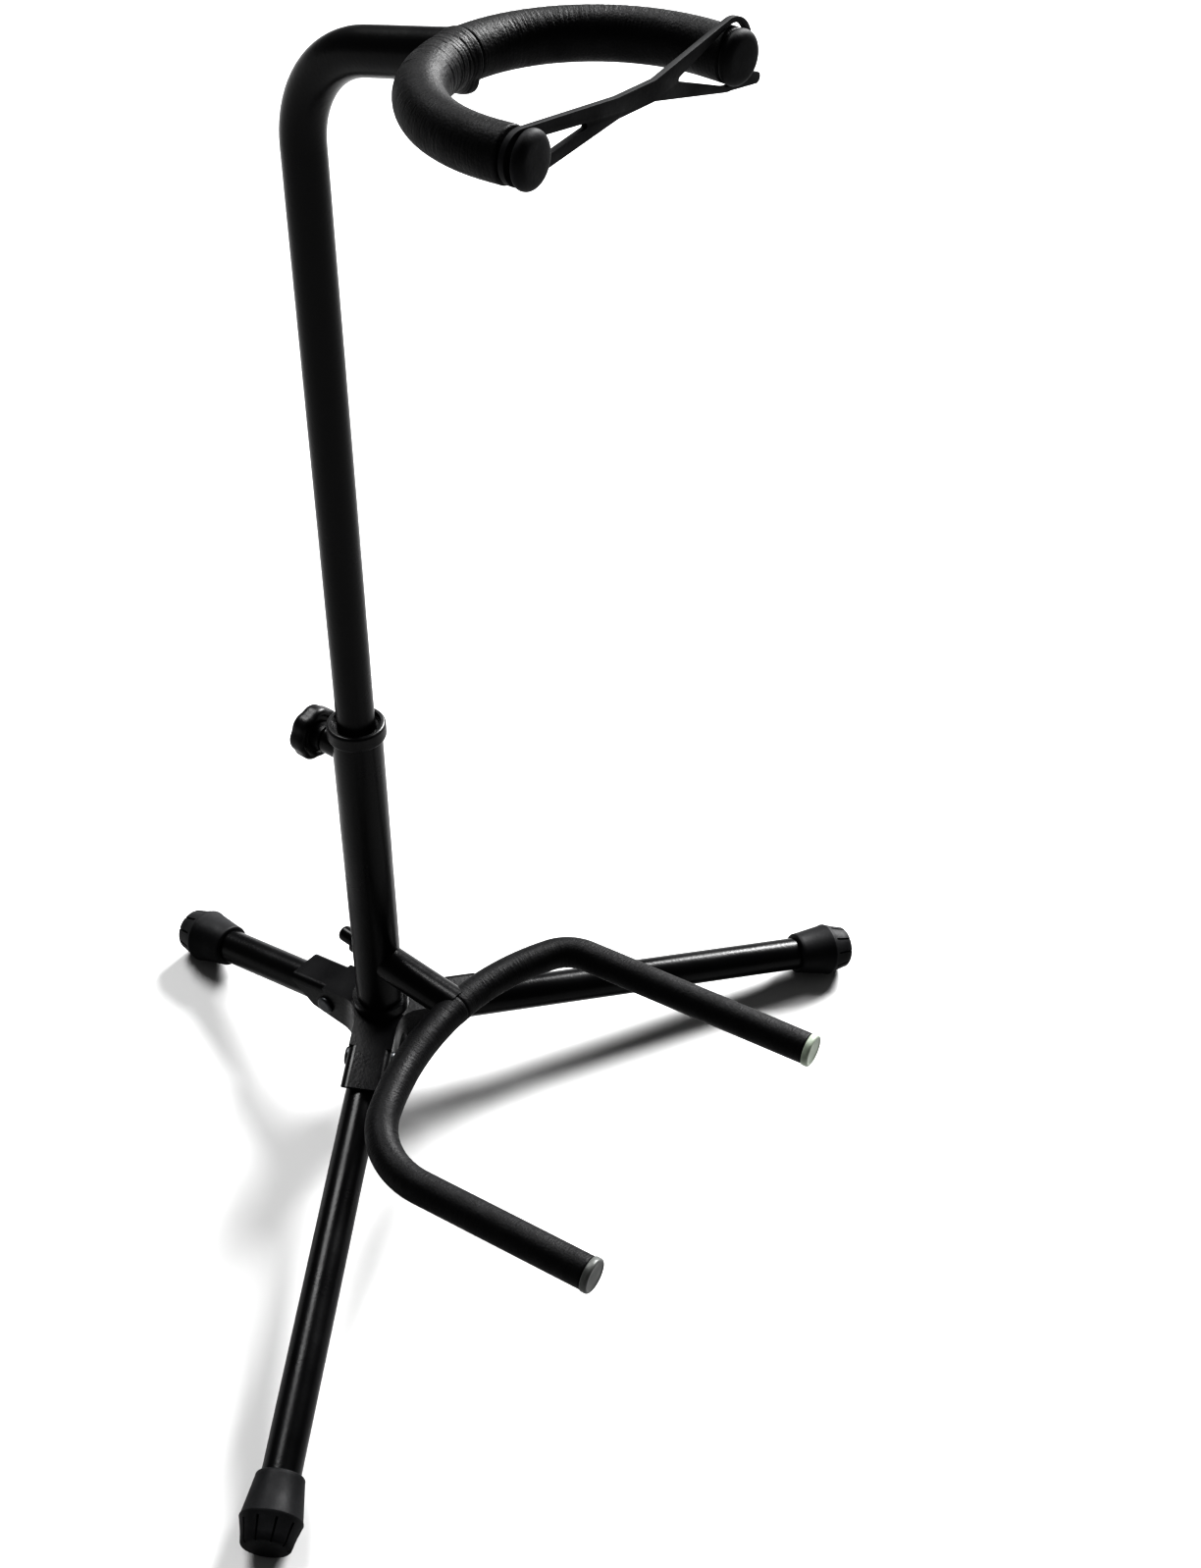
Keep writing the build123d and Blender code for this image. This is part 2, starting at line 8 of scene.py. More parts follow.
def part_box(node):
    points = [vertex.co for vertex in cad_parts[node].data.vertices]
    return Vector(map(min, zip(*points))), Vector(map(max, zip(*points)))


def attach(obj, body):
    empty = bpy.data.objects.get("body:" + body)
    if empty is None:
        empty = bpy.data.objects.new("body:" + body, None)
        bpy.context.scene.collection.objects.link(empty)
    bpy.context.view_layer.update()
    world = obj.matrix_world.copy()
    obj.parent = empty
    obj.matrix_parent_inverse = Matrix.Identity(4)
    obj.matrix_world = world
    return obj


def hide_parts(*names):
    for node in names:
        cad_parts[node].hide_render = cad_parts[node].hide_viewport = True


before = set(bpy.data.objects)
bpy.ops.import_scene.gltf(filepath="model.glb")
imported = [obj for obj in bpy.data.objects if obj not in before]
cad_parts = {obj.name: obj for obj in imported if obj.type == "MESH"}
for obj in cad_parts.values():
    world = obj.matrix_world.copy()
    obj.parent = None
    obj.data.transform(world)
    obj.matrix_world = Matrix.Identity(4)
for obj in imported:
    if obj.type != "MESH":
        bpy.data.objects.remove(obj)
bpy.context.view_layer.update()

bl_info = {
    "name": "Guitar Stand Maker",
    "version": (1, 0, 0),
    "blender": (4, 5, 0),
    "location": "3D View > Sidebar > Guitar Stand",
    "description": "Foam sleeves, rubber parts and finishes of a tripod guitar stand",
    "category": "Object",
}

MM = 0.001
BAR_R = 4.75 * MM
# The frame's nodes bring plain materials that have the slots' names. A finish takes
# a name of its own, so that looking it up never finds a plain material.
FINISH = "_finish"


# Places, all taken from the frame

def low(node):
    return Vector(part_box(node)[0])


def high(node):
    return Vector(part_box(node)[1])


def middle(node):
    return (low(node) + high(node)) / 2


def looking(origin, ahead, across):
    """A place whose Z points ahead and whose X points across."""
    z = Vector(ahead).normalized()
    y = z.cross(Vector(across)).normalized()
    x = y.cross(z)
    turn = Matrix((x, y, z)).transposed().to_4x4()
    return Matrix.Translation(origin) @ turn


def bar_middle(node):
    """Where a bent bar crosses the middle of the stand: its lowest and rearmost section."""
    return Vector((0, high(node).y - BAR_R, low(node).z + BAR_R))


class Arm:
    """One half of a bent bar: straight runs and bends in a tilted plane."""

    def __init__(self, origin, tilt, side, runs):
        self.side = Vector((side, 0, 0))
        self.front = Vector((0, -math.cos(tilt), math.sin(tilt)))
        self.axis = self.side.cross(self.front)
        self.start = looking(origin, self.side, self.axis)
        self.runs = runs

    def step(self, place, run, share=1.0):
        """The place after a share of a run."""
        if isinstance(run, tuple):
            radius, angle = run
            heading = place.to_3x3() @ Vector((0, 0, 1))
            centre = place.translation + self.axis.cross(heading) * radius
            turn = Matrix.Rotation(angle * share, 4, self.axis)
            return Matrix.Translation(centre) @ turn @ Matrix.Translation(-centre) @ place
        return place @ Matrix.Translation((0, 0, run * share))

    def end(self):
        place = self.start
        for run in self.runs:
            place = self.step(place, run)
        return place

    def length(self):
        return sum(run[0] * run[1] if isinstance(run, tuple) else run for run in self.runs)

    def along(self, distance):
        """The place at a distance along the bar's centre line."""
        place = self.start
        for run in self.runs:
            whole = run[0] * run[1] if isinstance(run, tuple) else run
            if distance <= whole:
                return self.step(place, run, max(distance, 0.0) / whole)
            distance -= whole
            place = self.step(place, run)
        return place


YOKE_TILT = math.radians(5.5)
YOKE_RUNS = ((61.4 * MM, math.radians(95.0)), 11.2 * MM)
STRAP_GROOVE = 6.0 * MM
CRADLE_TILT = math.radians(5.3)
LEFT_RUNS = ((171.0 * MM, math.radians(27.0)), (46.0 * MM, math.radians(68.8)), 94.6 * MM)
RIGHT_RUNS = ((133.6 * MM, math.radians(27.1)), (22.0 * MM, math.radians(56.1)), 131.8 * MM)

YOKE_ARMS = {
    name: Arm(bar_middle("yoke_bar"), YOKE_TILT, side, YOKE_RUNS)
    for name, side in (("left", -1), ("right", 1))
}
CRADLE_ARMS = {
    "left": Arm(bar_middle("cradle_bar"), CRADLE_TILT, -1, LEFT_RUNS),
    "right": Arm(bar_middle("cradle_bar"), CRADLE_TILT, 1, RIGHT_RUNS),
}

PIVOT_R = 30.0 * MM
FOOT_RING_Z = 14.4 * MM
LEG_REACH = {"left": 281.0 * MM, "right": 281.0 * MM, "rear": 136.0 * MM}
TRIPOD_Y = middle("leg_rivet_rear").y - PIVOT_R


def foot_place(leg):
    """The middle of a foot's widest ring, looking along the leg, with X level."""
    pivot = middle("leg_rivet_" + leg)
    out = (Vector((pivot.x, pivot.y - TRIPOD_Y, 0))).normalized()
    ring = Vector((0, TRIPOD_Y, FOOT_RING_Z)) + out * LEG_REACH[leg]
    return looking(ring, ring - pivot, Vector((0, 0, 1)).cross(out))


# Modelling by hand

def clear():
    if bpy.context.object and bpy.context.object.mode != "OBJECT":
        bpy.ops.object.mode_set(mode="OBJECT")
    bpy.ops.object.select_all(action="DESELECT")


class Drawn:
    """A round piece drawn out in edit mode, ring after ring, from a first circle."""

    def __init__(self, name, place, radius, sides):
        clear()
        bpy.ops.mesh.primitive_circle_add(
            vertices=sides,
            radius=radius,
            location=place.translation,
            rotation=place.to_euler(),
        )
        self.piece = bpy.context.object
        self.piece.name = name
        self.place = place.copy()
        self.radius = radius
        bpy.ops.object.mode_set(mode="EDIT")
        bpy.ops.mesh.select_all(action="SELECT")

    def ring(self, ahead, radius):
        """The next ring, this far ahead and of this radius."""
        move = self.place.to_3x3() @ Vector((0, 0, ahead))
        bpy.ops.mesh.extrude_region_move(TRANSFORM_OT_translate={"value": move})
        self.place.translation += move
        factor = radius / self.radius
        if factor != 1.0:
            bpy.ops.transform.resize(value=(factor,) * 3, center_override=self.place.translation)
            self.radius = radius

    def rings(self, *steps):
        for ahead, radius in steps:
            self.ring(ahead, radius)

    def run(self, arm, run, spacing):
        """A straight run or a bend of an arm, with rings evenly spaced."""
        if isinstance(run, tuple):
            radius, angle = run
            heading = self.place.to_3x3() @ Vector((0, 0, 1))
            centre = self.place.translation + arm.axis.cross(heading) * radius
            steps = max(1, round(radius * angle / spacing))
            bpy.ops.mesh.spin(steps=steps, angle=-angle, center=centre, axis=arm.axis)
            self.place = arm.step(self.place, run)
        else:
            steps = max(1, round(run / spacing))
            for _ in range(steps):
                self.ring(run / steps, self.radius)

    def pole(self):
        """The last ring drawn together into one point."""
        bpy.ops.mesh.merge(type="CENTER")

    def cap_both(self):
        bpy.ops.mesh.select_all(action="DESELECT")
        bpy.ops.mesh.select_non_manifold(extend=False)
        bpy.ops.mesh.edge_face_add()

    def done(self):
        bpy.ops.mesh.select_all(action="SELECT")
        bpy.ops.mesh.remove_doubles(threshold=1e-6)
        bpy.ops.mesh.normals_make_consistent(inside=False)
        bpy.ops.object.mode_set(mode="OBJECT")
        bpy.ops.object.transform_apply(location=True, rotation=True, scale=True)
        return self.piece


def apply(piece, kind, **settings):
    """A modifier with these settings, applied."""
    clear()
    bpy.context.view_layer.objects.active = piece
    piece.select_set(True)
    modifier = piece.modifiers.new(kind.title(), kind)
    for name, value in settings.items():
        setattr(modifier, name, value)
    bpy.ops.object.modifier_apply(modifier=modifier.name)


def smooth(piece, degrees=40):
    clear()
    bpy.context.view_layer.objects.active = piece
    piece.select_set(True)
    bpy.ops.object.shade_smooth_by_angle(angle=math.radians(degrees))


def hand_over(piece, body, nodes, material):
    """The piece takes its material, its body and the CAD nodes that it stands for."""
    piece.data.materials.clear()
    piece.data.materials.append(material)
    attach(piece, body)
    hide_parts(*nodes)


# Finishes

class Finish:
    """A node material built from a principled shader and patterns in object space."""

    def __init__(self, name):
        self.material = bpy.data.materials.new(name + FINISH)
        self.material.use_nodes = True
        self.nodes = self.material.node_tree.nodes
        self.links = self.material.node_tree.links
        self.shader = self.nodes["Principled BSDF"]
        self.where = self.nodes.new("ShaderNodeTexCoord").outputs["Object"]
        self.bump = None

    def noise(self, scale, detail=3.0, rough=0.5, stretch=(1, 1, 1), where=None):
        mapping = self.nodes.new("ShaderNodeMapping")
        mapping.inputs["Scale"].default_value = stretch
        self.links.new(where or self.where, mapping.inputs["Vector"])
        node = self.nodes.new("ShaderNodeTexNoise")
        node.inputs["Scale"].default_value = scale
        node.inputs["Detail"].default_value = detail
        node.inputs["Roughness"].default_value = rough
        self.links.new(mapping.outputs["Vector"], node.inputs["Vector"])
        return node.outputs["Fac"]

    def attribute(self, name):
        node = self.nodes.new("ShaderNodeAttribute")
        node.attribute_name = name
        return node.outputs["Vector"]

    def cells(self, scale, feature="F1"):
        node = self.nodes.new("ShaderNodeTexVoronoi")
        node.feature = feature
        node.inputs["Scale"].default_value = scale
        self.links.new(self.where, node.inputs["Vector"])
        return node.outputs["Distance"]

    def spread(self, value, start, end, low, high):
        """A pattern's values from start to end, spread from low to high."""
        node = self.nodes.new("ShaderNodeMapRange")
        node.inputs["From Min"].default_value = start
        node.inputs["From Max"].default_value = end
        node.inputs["To Min"].default_value = low
        node.inputs["To Max"].default_value = high
        self.links.new(value, node.inputs["Value"])
        return node.outputs["Result"]

    def colour(self, value, stops):
        """A pattern turned into colours."""
        node = self.nodes.new("ShaderNodeValToRGB")
        ramp = node.color_ramp
        for k, (place, tint) in enumerate(stops):
            stop = ramp.elements[k] if k < 2 else ramp.elements.new(place)
            stop.position = place
            stop.color = (*tint, 1)
        self.links.new(value, node.inputs["Fac"])
        self.links.new(node.outputs["Color"], self.shader.inputs["Base Color"])

    def roughness(self, value, low, high, start=0.3, end=0.7):
        self.links.new(self.spread(value, start, end, low, high), self.shader.inputs["Roughness"])

    def relief(self, value, depth, strength=1.0):
        """A bump of this depth in metres, on top of those before it."""
        node = self.nodes.new("ShaderNodeBump")
        node.inputs["Strength"].default_value = strength
        node.inputs["Distance"].default_value = depth
        self.links.new(value, node.inputs["Height"])
        if self.bump:
            self.links.new(self.bump, node.inputs["Normal"])
        self.bump = node.outputs["Normal"]
        self.links.new(self.bump, self.shader.inputs["Normal"])

    def plain(self, **values):
        for name, value in values.items():
            self.shader.inputs[name.replace("_", " ")].default_value = value


def shade(tint, factor):
    return tuple(min(1.0, c * factor) for c in tint)


def powder_coat(tint):
    """Satin black powder coat: fine orange peel, with faint dust on it."""
    made = Finish("black_powder_coat")
    made.plain(Metallic=0.0, Specular_IOR_Level=0.17)
    dust = made.noise(260, 5, 0.65)
    made.colour(dust, ((0.0, tint), (0.62, shade(tint, 1.25)), (0.86, shade(tint, 2.2))))
    made.roughness(made.noise(38, 4), 0.25, 0.36)
    made.relief(made.noise(620, 2, 0.4), 0.00016, 0.35)
    made.relief(made.noise(60, 2), 0.0004, 0.12)
    return made.material


def foam(tint, name="black_foam"):
    """Closed-cell foam: fine pores, a soft skin, and a slight mottle."""
    made = Finish(name)
    made.plain(Metallic=0.0, Specular_IOR_Level=0.13)
    mottle = made.noise(140, 6, 0.7)
    made.colour(mottle, ((0.25, shade(tint, 0.7)), (0.55, tint), (0.85, shade(tint, 2.0))))
    made.roughness(made.noise(90, 4), 0.46, 0.62)
    made.relief(made.cells(950), 0.00022, 0.40)
    made.relief(made.noise(420, 5, 0.7), 0.0004, 0.30)
    # Stretch marks round the sleeve, where the foam is pulled round the bar
    marks = made.noise(1050, 4, 0.62, (1, 0.11, 0.11), made.attribute("wrap"))
    made.relief(marks, 0.0006, 0.5)
    return made.material


def rubber(tint):
    """Moulded rubber with a bloom and small scuffs."""
    made = Finish("black_rubber")
    made.plain(Metallic=0.0, Specular_IOR_Level=0.16)
    scuffs = made.noise(210, 6, 0.72)
    stops = ((0.2, shade(tint, 0.8)), (0.6, shade(tint, 1.2)), (0.82, shade(tint, 3.0)))
    made.colour(scuffs, stops)
    made.roughness(made.noise(75, 5), 0.50, 0.68)
    made.relief(made.noise(520, 4, 0.6), 0.00025, 0.35)
    return made.material


def plastic(tint, name="black_plastic", rough=0.38):
    """Moulded plastic with a fine spark-eroded grain."""
    made = Finish(name)
    made.plain(Metallic=0.0, Specular_IOR_Level=0.22)
    made.colour(made.noise(180, 4), ((0.2, shade(tint, 0.85)), (0.8, shade(tint, 1.3))))
    made.roughness(made.noise(110, 4), rough - 0.06, rough + 0.10)
    made.relief(made.cells(1300), 0.00012, 0.30)
    return made.material


def zinc_steel(tint):
    """Blackened zinc plate: a fine crystalline mottle with a slight tarnish."""
    made = Finish("zinc_steel")
    made.plain(Metallic=1.0)
    made.colour(made.noise(330, 5, 0.6), ((0.3, shade(tint, 0.62)), (0.7, tint)))
    made.roughness(made.noise(240, 3), 0.34, 0.50)
    made.relief(made.noise(700, 3), 0.00008, 0.3)
    return made.material


class StandSizes(bpy.types.PropertyGroup):
    """Sizes of the parts that are modelled here."""

    yoke_sleeve: bpy.props.FloatProperty(
        name="Yoke sleeve", description="Diameter of the foam on the neck yoke",
        default=20.0 * MM, unit="LENGTH")
    cradle_sleeve: bpy.props.FloatProperty(
        name="Cradle sleeve", description="Diameter of the foam on the body cradle",
        default=16.8 * MM, unit="LENGTH")
    crease_depth: bpy.props.FloatProperty(
        name="Crease depth", description="Depth of the foam's creases where it is bent",
        default=0.32 * MM, unit="LENGTH")
    yoke_cap: bpy.props.FloatProperty(
        name="Yoke cap", description="Diameter of the yoke's end caps",
        default=20.4 * MM, unit="LENGTH")
    cradle_cap: bpy.props.FloatProperty(
        name="Cradle cap", description="Diameter of the cradle's end caps",
        default=17.8 * MM, unit="LENGTH")
    strap_edge: bpy.props.FloatProperty(
        name="Strap edge", description="Rounding of the strap's edges",
        default=0.5 * MM, unit="LENGTH")
    knob: bpy.props.FloatProperty(
        name="Knob", description="Diameter of the height knob over its lobes",
        default=28.0 * MM, unit="LENGTH")
    foot: bpy.props.FloatProperty(
        name="Foot", description="Diameter of a rubber foot at its widest ring",
        default=30.4 * MM, unit="LENGTH")


class StandColours(bpy.types.PropertyGroup):
    """Colours of the finishes."""

    coat: bpy.props.FloatVectorProperty(
        name="Powder coat", description="Colour of the coated steel",
        default=(0.003, 0.003, 0.0033), subtype="COLOR", min=0, max=1)
    foam: bpy.props.FloatVectorProperty(
        name="Foam", description="Colour of the foam sleeves",
        default=(0.005, 0.005, 0.0054), subtype="COLOR", min=0, max=1)
    rubber: bpy.props.FloatVectorProperty(
        name="Rubber", description="Colour of the feet, the yoke's caps and the strap",
        default=(0.0065, 0.0066, 0.0072), subtype="COLOR", min=0, max=1)
    plastic: bpy.props.FloatVectorProperty(
        name="Plastic", description="Colour of the knob, the collar and the bushes",
        default=(0.005, 0.005, 0.0055), subtype="COLOR", min=0, max=1)
    # The caps' grey tints are partly their own colour and partly a painted reflection of the pale
    # surroundings; the right cap's paler tint is a painted reflection of the light.
    left_cap_and_painted_reflection: bpy.props.FloatVectorProperty(
        name="Left cap", description="Colour of the cradle's left end cap",
        default=(0.055, 0.057, 0.055), subtype="COLOR", min=0, max=1)
    right_cap_and_painted_reflection: bpy.props.FloatVectorProperty(
        name="Right cap", description="Colour of the cradle's right end cap",
        default=(0.17, 0.19, 0.16), subtype="COLOR", min=0, max=1)
    steel: bpy.props.FloatVectorProperty(
        name="Steel", description="Colour of the blackened fasteners",
        default=(0.07, 0.072, 0.075), subtype="COLOR", min=0, max=1)
    floor: bpy.props.FloatVectorProperty(
        name="Floor", description="Colour of the floor",
        default=(0.44, 0.44, 0.44), subtype="COLOR", min=0, max=1)


def sizes():
    return bpy.context.scene.stand_sizes


def colours():
    return bpy.context.scene.stand_colours


def made_once(name, maker, *values):
    """A finish that several pieces share."""
    return bpy.data.materials.get(name + FINISH) or maker(*values)


class STAND_OT_metalwork(bpy.types.Operator):
    """Give the coated tubes, the hub, the bushes and the fasteners their finishes"""

    bl_idname = "stand.metalwork"
    bl_label = "Metalwork"

    coated = (
        "hub_spider", "lower_mast", "upper_mast", "cradle_stub", "clamp_boss", "cap_nut",
        "saddle_washer", "leg_tube_left", "leg_tube_right", "leg_tube_rear", "yoke_bar",
        "cradle_bar",
    )
    moulded = ("height_collar", "top_bush", "guide_bush", "upper_plug", "mast_plug", "clamp_pad")
    plated = (
        "leg_rivet_left", "leg_rivet_right", "leg_rivet_rear", "hub_bolt", "hub_washer",
        "clamp_stud", "cradle_bolt",
    )

    def execute(self, context):
        coat = made_once("black_powder_coat", powder_coat, colours().coat)
        black = made_once("black_plastic", plastic, colours().plastic)
        steel = made_once("zinc_steel", zinc_steel, colours().steel)
        for names, material in ((self.coated, coat), (self.moulded, black), (self.plated, steel)):
            for name in names:
                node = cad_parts[name]
                node.data.materials.clear()
                node.data.materials.append(material)
                smooth(node, 30)
        return {"FINISHED"}


def draw_sleeve(name, arm, diameter, short, spacing, sides):
    """A foam sleeve with a bore, from the middle of the bar to just short of its cap."""
    gap = 0.15 * MM
    drawn = Drawn(name, arm.along(gap), diameter / 2, sides)
    (radius, angle), *others = arm.runs
    others[-1] -= short
    for run in ((radius, angle - gap / radius), *others):
        drawn.run(arm, run, spacing)
    piece = drawn.done()
    wall = diameter / 2 - BAR_R - 0.05 * MM
    apply(piece, "SOLIDIFY", thickness=wall, offset=-1.0)
    return piece


def press_foam(piece, arm, push):
    """Moves the foam in or out. The push depends on the distance along the arm, on how
    far up and how far into the bend that side of the foam faces, and on the turn
    round the bar. The bore moves less than the skin."""
    samples = 1200
    whole = arm.length()
    places = [arm.along(whole * k / samples) for k in range(samples + 1)]
    nearest = kdtree.KDTree(samples + 1)
    for k, place in enumerate(places):
        nearest.insert(place.translation, k)
    nearest.balance()
    skin = max(
        (vertex.co - nearest.find(vertex.co)[0]).length for vertex in piece.data.vertices[:200]
    )
    wrap = piece.data.attributes.new("wrap", "FLOAT_VECTOR", "POINT")
    for vertex in piece.data.vertices:
        _, k, _ = nearest.find(vertex.co)
        local = places[k].inverted() @ vertex.co
        across = Vector((local.x, local.y, 0))
        depth = max(0.0, (across.length - BAR_R) / (skin - BAR_R))
        out = places[k].to_3x3() @ across.normalized()
        facing_in = -local.y / across.length
        turn = math.atan2(local.y, local.x)
        wrap.data[vertex.index].vector = (whole * k / samples + local.z, local.x, local.y)
        vertex.co += out * depth * push(whole * k / samples + local.z, out.z, facing_in, turn)
    piece.data.update()


def ease(value, start, end):
    """0 before start and 1 after end, with a smooth step between."""
    t = min(1.0, max(0.0, (value - start) / (end - start)))
    return t * t * (3 - 2 * t)


def crease(along, place, width):
    """The depth profile of one fold, 1 in its middle, with a soft swell beside it."""
    t = (along - place) / width
    return math.exp(-t * t) - 0.28 * math.exp(-((abs(t) - 2.1) ** 2))


def folds(along, turn, places, width):
    """Several folds that wander a little round the bar."""
    total = 0.0
    for k, place in enumerate(places):
        wander = 0.5 * MM * math.sin(2 * turn + 1.7 * k) + 0.3 * MM * math.sin(5 * turn + k * k)
        strength = 0.65 + 0.35 * math.sin(turn * 1.5 + 2.3 * k)
        total += strength * crease(along, place + wander, width)
    return total


def ripple(along, turn):
    """The fine uneven hatch of foam that is stretched round a bend, from -1 to 1."""
    wander = 0.5 * math.sin(3 * turn) + 0.35 * math.sin(7 * turn + 1.0)
    fine = math.sin(along / (0.31 * MM) + 2.2 * wander + 1.3 * math.sin(along / (2.9 * MM)))
    coarse = math.sin(along / (0.72 * MM) + 3.1 * wander + 2.0)
    return 0.6 * fine * (0.55 + 0.45 * math.sin(along / (4.1 * MM) + 4 * turn)) + 0.4 * coarse


def rounded_end(distance, radius):
    """How far the skin draws in near an end, so that its edge is rounded."""
    if distance >= radius:
        return 0.0
    t = 1 - max(0.0, distance) / radius
    return radius * (1 - math.sqrt(1 - min(1.0, t) ** 2))


class STAND_OT_yoke_sleeves(bpy.types.Operator):
    """Model the two foam sleeves of the neck yoke, creased where they meet the neck"""

    bl_idname = "stand.yoke_sleeves"
    bl_label = "Yoke sleeves"

    left_folds = (5.2, 7.9, 10.1, 13.0, 15.2, 18.6, 22.4, 27.5, 34.0)

    def left_push(self, end):
        deep = sizes().crease_depth
        places = [place * MM for place in self.left_folds]

        def push(along, up, facing_in, turn):
            where = max(0.12, 0.75 * max(up, facing_in) + 0.25)
            move = -deep * where * folds(along, turn, places, 0.42 * MM)
            move += 0.03 * MM * ripple(along, turn)
            # The end swells where it is forced over the neck, and flares underneath
            move += 0.75 * MM * (1 - ease(along, 1 * MM, 9 * MM))
            lip = ease(-up, 0.45, 0.95) * (1 - ease(along, 2 * MM, 13 * MM))
            move += 2.6 * MM * lip
            move -= rounded_end(along, 1.9 * MM) * (1 - 0.8 * lip)
            move -= rounded_end(end - along, 0.8 * MM)
            return move

        return push

    def right_push(self, end):
        def push(along, up, facing_in, turn):
            worn = 0.35 + 0.65 * ease(up + 0.4 * facing_in, -0.2, 0.8)
            middle_part = ease(along, 6 * MM, 18 * MM) * (1 - ease(along, 78 * MM, 96 * MM))
            move = 0.06 * MM * ripple(along, turn) * worn * (0.3 + 0.7 * middle_part)
            move -= rounded_end(along, 1.2 * MM) + rounded_end(end - along, 1.4 * MM)
            return move

        return push

    def execute(self, context):
        material = made_once("black_foam", foam, colours().foam)
        for name, arm in YOKE_ARMS.items():
            short = STRAP_GROOVE if name == "left" else 0.0
            piece = draw_sleeve(
                "yoke_foam_" + name, arm, sizes().yoke_sleeve, short, 0.45 * MM, 80)
            end = arm.length() - short
            push = self.left_push(end) if name == "left" else self.right_push(end)
            press_foam(piece, arm, push)
            smooth(piece, 50)
            hand_over(piece, "upper_stand", ["yoke_sleeve_" + name], material)
        return {"FINISHED"}


class STAND_OT_cradle_sleeves(bpy.types.Operator):
    """Model the two foam sleeves of the body cradle, creased inside their bends"""

    bl_idname = "stand.cradle_sleeves"
    bl_label = "Cradle sleeves"

    def push_for(self, arm):
        (wide_r, wide_a), (tight_r, tight_a), _ = arm.runs
        bend_middle = wide_r * wide_a + tight_r * tight_a / 2
        half = tight_r * tight_a / 2
        spots = (-0.62, -0.30, -0.05, 0.28, 0.55)
        places = [bend_middle + half * spot for spot in spots]
        end = arm.length()

        def push(along, up, facing_in, turn):
            inside = ease(facing_in, 0.15, 0.9)
            move = -0.8 * sizes().crease_depth * inside * folds(along, turn, places, 0.8 * MM)
            move += 0.035 * MM * ripple(along, turn)
            # The butted ends swell a little against each other
            move += 0.25 * MM * (1 - ease(along, 1 * MM, 7 * MM))
            move -= rounded_end(along, 0.9 * MM) + rounded_end(end - along, 0.8 * MM)
            return move

        return push

    def execute(self, context):
        material = made_once("black_foam", foam, colours().foam)
        for name, arm in CRADLE_ARMS.items():
            piece = draw_sleeve(
                "cradle_foam_" + name, arm, sizes().cradle_sleeve, 0.0, 0.75 * MM, 64)
            press_foam(piece, arm, self.push_for(arm))
            smooth(piece, 50)
            hand_over(piece, "stand_base", ["cradle_sleeve_" + name], material)
        return {"FINISHED"}


class STAND_OT_yoke_caps(bpy.types.Operator):
    """Model the rounded rubber caps on the yoke's ends"""

    bl_idname = "stand.yoke_caps"
    bl_label = "Yoke caps"

    def execute(self, context):
        material = made_once("black_rubber", rubber, colours().rubber)
        rim = sizes().yoke_cap / 2
        height = 4.6 * MM
        for name, arm in YOKE_ARMS.items():
            drawn = Drawn("yoke_end_" + name, arm.end(), rim - 0.8 * MM, 64)
            drawn.rings(
                (0.02 * MM, rim - 0.3 * MM), (0.25 * MM, rim - 0.15 * MM), (0.45 * MM, rim),
                (0.6 * MM, rim),
            )
            bulge = height - 1.49 * MM
            steps = 9
            for k in range(1, steps):
                turn = math.radians(90.0) * k / steps
                before = math.radians(90.0) * (k - 1) / steps
                ahead = bulge * (math.sin(turn) - math.sin(before))
                drawn.ring(ahead, 0.62 * rim + 0.38 * rim * math.cos(turn))
            drawn.rings((0.12 * MM, 0.45 * rim), (0.05 * MM, 0.2 * rim))
            drawn.pole()
            drawn.cap_both()
            piece = drawn.done()
            smooth(piece, 50)
            hand_over(piece, "upper_stand", ["yoke_cap_" + name], material)
        return {"FINISHED"}


class STAND_OT_cradle_caps(bpy.types.Operator):
    """Model the flat plastic caps on the cradle's ends, each with a small rim"""

    bl_idname = "stand.cradle_caps"
    bl_label = "Cradle caps"

    def execute(self, context):
        rim = sizes().cradle_cap / 2
        # Each cap's tint is partly its own grey and partly a painted reflection; the right cap is
        # painted paler where the light falls on it.
        cap_tints_and_painted_reflections = {"left": colours().left_cap_and_painted_reflection, "right": colours().right_cap_and_painted_reflection}
        for name, arm in CRADLE_ARMS.items():
            material = plastic(cap_tints_and_painted_reflections[name], "cap_tint_and_painted_reflection_" + name, 0.44)
            drawn = Drawn("cradle_end_" + name, arm.end(), rim - 0.5 * MM, 64)
            drawn.rings(
                (0.2 * MM, rim - 0.15 * MM), (0.4 * MM, rim), (1.9 * MM, rim),
                (0.6 * MM, rim - 0.12 * MM), (0.45 * MM, rim - 0.45 * MM),
                (0.2 * MM, rim - 0.95 * MM), (0.05 * MM, rim - 1.35 * MM),
                (-0.25 * MM, rim - 1.7 * MM), (-0.1 * MM, rim - 2.2 * MM),
                (0.05 * MM, 0.5 * rim), (0.06 * MM, 0.15 * rim),
            )
            drawn.pole()
            drawn.cap_both()
            piece = drawn.done()
            smooth(piece, 60)
            hand_over(piece, "stand_base", ["cradle_cap_" + name], material)
        return {"FINISHED"}


